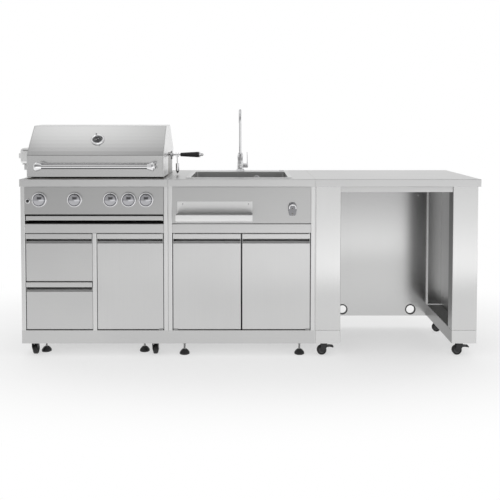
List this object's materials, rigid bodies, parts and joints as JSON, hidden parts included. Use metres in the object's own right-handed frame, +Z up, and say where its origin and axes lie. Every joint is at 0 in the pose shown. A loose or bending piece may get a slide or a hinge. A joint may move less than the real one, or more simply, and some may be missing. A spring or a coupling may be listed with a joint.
{
  "type": "outdoor kitchen island",
  "caption": "Outdoor kitchen island: stainless steel grill cabinet with rotisserie, sink cabinet with faucet and bottle rail, and an open table, on feet and casters.",
  "frame": {"origin": "on the floor, under the centre of the island's overall box", "axes": "+X along the row from the grill to the table, +Y to the back, +Z up"},
  "size_m": [2.439, 0.724, 1.2777],
  "materials": {
    "black_plastic": "matt black plastic",
    "black_rubber": "black rubber",
    "cast_grate": "cast iron, matt",
    "chrome": "polished chrome",
    "steel_dark": "heat-darkened stainless steel",
    "steel_mirror": "fine-brushed, nearly polished stainless steel",
    "steel_panel": "brushed stainless steel, satin"
  },
  "bodies": {
    "root": {"grill_carcass": "steel_panel", "grill_front_frame": "steel_panel", "grill_counter": "steel_panel", "sink_counter": "steel_panel", "table_counter": "steel_panel", "firebox": "steel_panel", "burners_and_tents": "steel_dark", "cooking_grates": "cast_grate", "control_panel": "steel_panel", "knob_bezels": "chrome", "gas_manifold": "steel_dark", "rotisserie_motor": "steel_panel", "sink_carcass": "steel_panel", "sink_front_frame": "steel_panel", "sink_bowl": "steel_panel", "faucet_body": "chrome", "bottle_rail": "steel_panel", "bottle_opener": "chrome", "table_legs": "steel_panel", "table_back_panel": "steel_panel", "feet_and_caster_plates": "black_plastic"},
    "hood": {"hood_shell": "steel_mirror", "hood_end_caps": "steel_panel", "hood_handle": "chrome", "hood_thermometer": "chrome"},
    "spit": {"spit_rod": "chrome", "spit_handle": "black_plastic", "spit_counterweight": "chrome"},
    "knob_1": {"control_knob_1": "chrome"},
    "knob_2": {"control_knob_2": "chrome"},
    "knob_3": {"control_knob_3": "chrome"},
    "knob_4": {"control_knob_4": "chrome"},
    "knob_5": {"control_knob_5": "chrome"},
    "igniter": {"igniter_button": "black_plastic"},
    "tray": {"drip_tray": "steel_panel"},
    "drawer_upper": {"upper_drawer": "steel_panel"},
    "drawer_lower": {"lower_drawer": "steel_panel"},
    "door_grill": {"grill_door": "steel_panel"},
    "door_sink_left": {"sink_door_left": "steel_panel"},
    "door_sink_right": {"sink_door_right": "steel_panel"},
    "spout": {"faucet_spout": "chrome"},
    "lever": {"faucet_lever": "chrome"},
    "fork_1": {"caster_1_fork": "black_plastic"},
    "wheel_1": {"caster_1_wheel": "black_rubber"},
    "fork_2": {"caster_2_fork": "black_plastic"},
    "wheel_2": {"caster_2_wheel": "black_rubber"},
    "fork_3": {"caster_3_fork": "black_plastic"},
    "wheel_3": {"caster_3_wheel": "black_rubber"},
    "fork_4": {"caster_4_fork": "black_plastic"},
    "wheel_4": {"caster_4_wheel": "black_rubber"},
    "fork_5": {"caster_5_fork": "black_plastic"},
    "wheel_5": {"caster_5_wheel": "black_rubber"},
    "fork_6": {"caster_6_fork": "black_plastic"},
    "wheel_6": {"caster_6_wheel": "black_rubber"},
    "fork_7": {"caster_7_fork": "black_plastic"},
    "wheel_7": {"caster_7_wheel": "black_rubber"},
    "fork_8": {"caster_8_fork": "black_plastic"},
    "wheel_8": {"caster_8_wheel": "black_rubber"},
    "pedal_5": {"caster_5_brake_pedal": "black_plastic"},
    "pedal_6": {"caster_6_brake_pedal": "black_plastic"}
  },
  "joints": [
    {"name": "hood_open", "type": "hinge", "parent": "root", "child": "hood", "pos_m": [-1.0965, 0.172, 1.01], "axis": [-1, 0, 0], "range_deg": [0, 85]},
    {"name": "spit_turn", "type": "hinge", "parent": "root", "child": "spit", "pos_m": [-0.3745, 0.012, 1.026], "axis": [1, 0, 0], "continuous": true},
    {"name": "knob_1_turn", "type": "hinge", "parent": "root", "child": "knob_1", "pos_m": [-1.02851, -0.273, 0.81], "axis": [0, 1, 0], "range_deg": [0, 180]},
    {"name": "knob_2_turn", "type": "hinge", "parent": "root", "child": "knob_2", "pos_m": [-0.84849, -0.273, 0.81], "axis": [0, 1, 0], "range_deg": [0, 180]},
    {"name": "knob_3_turn", "type": "hinge", "parent": "root", "child": "knob_3", "pos_m": [-0.66552, -0.273, 0.81], "axis": [0, 1, 0], "range_deg": [0, 180]},
    {"name": "knob_4_turn", "type": "hinge", "parent": "root", "child": "knob_4", "pos_m": [-0.57348, -0.273, 0.81], "axis": [0, 1, 0], "range_deg": [0, 180]},
    {"name": "knob_5_turn", "type": "hinge", "parent": "root", "child": "knob_5", "pos_m": [-0.48452, -0.273, 0.81], "axis": [0, 1, 0], "range_deg": [0, 180]},
    {"name": "igniter_press", "type": "slide", "parent": "root", "child": "igniter", "axis": [0, 1, 0], "range_m": [0, 0.004], "stiffness_N_per_m": 800},
    {"name": "tray_pull", "type": "slide", "parent": "root", "child": "tray", "axis": [0, -1, 0], "range_m": [0, 0.3]},
    {"name": "upper_drawer_pull", "type": "slide", "parent": "root", "child": "drawer_upper", "axis": [0, -1, 0], "range_m": [0, 0.35]},
    {"name": "lower_drawer_pull", "type": "slide", "parent": "root", "child": "drawer_lower", "axis": [0, -1, 0], "range_m": [0, 0.35]},
    {"name": "grill_door_swing", "type": "hinge", "parent": "root", "child": "door_grill", "pos_m": [-0.405, -0.268, 0.136], "axis": [0, 0, 1], "range_deg": [0, 90]},
    {"name": "sink_door_left_swing", "type": "hinge", "parent": "root", "child": "door_sink_left", "pos_m": [-0.344, -0.268, 0.136], "axis": [0, 0, -1], "range_deg": [0, 90]},
    {"name": "sink_door_right_swing", "type": "hinge", "parent": "root", "child": "door_sink_right", "pos_m": [0.347, -0.268, 0.136], "axis": [0, 0, 1], "range_deg": [0, 90]},
    {"name": "spout_swivel", "type": "hinge", "parent": "root", "child": "spout", "pos_m": [-0.0115, 0.27, 1.018], "axis": [0, 0, 1], "range_deg": [-90, 90]},
    {"name": "lever_tilt", "type": "hinge", "parent": "root", "child": "lever", "pos_m": [-0.0115, 0.27, 0.949], "axis": [1, 0, 0], "range_deg": [0, 60]},
    {"name": "caster_1_swivel", "type": "hinge", "parent": "root", "child": "fork_1", "pos_m": [-1.0685, -0.238, 0.068], "axis": [0, 0, 1], "continuous": true},
    {"name": "caster_1_roll", "type": "hinge", "parent": "fork_1", "child": "wheel_1", "pos_m": [-1.0685, -0.224, 0.025], "axis": [1, 0, 0], "continuous": true},
    {"name": "caster_2_swivel", "type": "hinge", "parent": "root", "child": "fork_2", "pos_m": [-0.4455, -0.238, 0.068], "axis": [0, 0, 1], "continuous": true},
    {"name": "caster_2_roll", "type": "hinge", "parent": "fork_2", "child": "wheel_2", "pos_m": [-0.4455, -0.224, 0.025], "axis": [1, 0, 0], "continuous": true},
    {"name": "caster_3_swivel", "type": "hinge", "parent": "root", "child": "fork_3", "pos_m": [-1.0685, 0.162, 0.068], "axis": [0, 0, 1], "continuous": true},
    {"name": "caster_3_roll", "type": "hinge", "parent": "fork_3", "child": "wheel_3", "pos_m": [-1.0685, 0.176, 0.025], "axis": [1, 0, 0], "continuous": true},
    {"name": "caster_4_swivel", "type": "hinge", "parent": "root", "child": "fork_4", "pos_m": [-0.4455, 0.162, 0.068], "axis": [0, 0, 1], "continuous": true},
    {"name": "caster_4_roll", "type": "hinge", "parent": "fork_4", "child": "wheel_4", "pos_m": [-0.4455, 0.176, 0.025], "axis": [1, 0, 0], "continuous": true},
    {"name": "caster_5_swivel", "type": "hinge", "parent": "root", "child": "fork_5", "pos_m": [0.4305, -0.238, 0.068], "axis": [0, 0, 1], "continuous": true},
    {"name": "caster_5_roll", "type": "hinge", "parent": "fork_5", "child": "wheel_5", "pos_m": [0.4165, -0.238, 0.025], "axis": [0, 1, 0], "continuous": true},
    {"name": "caster_5_brake", "type": "hinge", "parent": "fork_5", "child": "pedal_5", "pos_m": [0.4395, -0.238, 0.047], "axis": [0, 1, 0], "range_deg": [0, 12]},
    {"name": "caster_6_swivel", "type": "hinge", "parent": "root", "child": "fork_6", "pos_m": [1.1315, -0.238, 0.068], "axis": [0, 0, 1], "continuous": true},
    {"name": "caster_6_roll", "type": "hinge", "parent": "fork_6", "child": "wheel_6", "pos_m": [1.1175, -0.238, 0.025], "axis": [0, 1, 0], "continuous": true},
    {"name": "caster_6_brake", "type": "hinge", "parent": "fork_6", "child": "pedal_6", "pos_m": [1.1405, -0.238, 0.047], "axis": [0, 1, 0], "range_deg": [0, 12]},
    {"name": "caster_7_swivel", "type": "hinge", "parent": "root", "child": "fork_7", "pos_m": [0.4305, 0.162, 0.068], "axis": [0, 0, 1], "continuous": true},
    {"name": "caster_7_roll", "type": "hinge", "parent": "fork_7", "child": "wheel_7", "pos_m": [0.4165, 0.162, 0.025], "axis": [0, 1, 0], "continuous": true},
    {"name": "caster_8_swivel", "type": "hinge", "parent": "root", "child": "fork_8", "pos_m": [1.1315, 0.162, 0.068], "axis": [0, 0, 1], "continuous": true},
    {"name": "caster_8_roll", "type": "hinge", "parent": "fork_8", "child": "wheel_8", "pos_m": [1.1175, 0.162, 0.025], "axis": [0, 1, 0], "continuous": true}
  ]
}
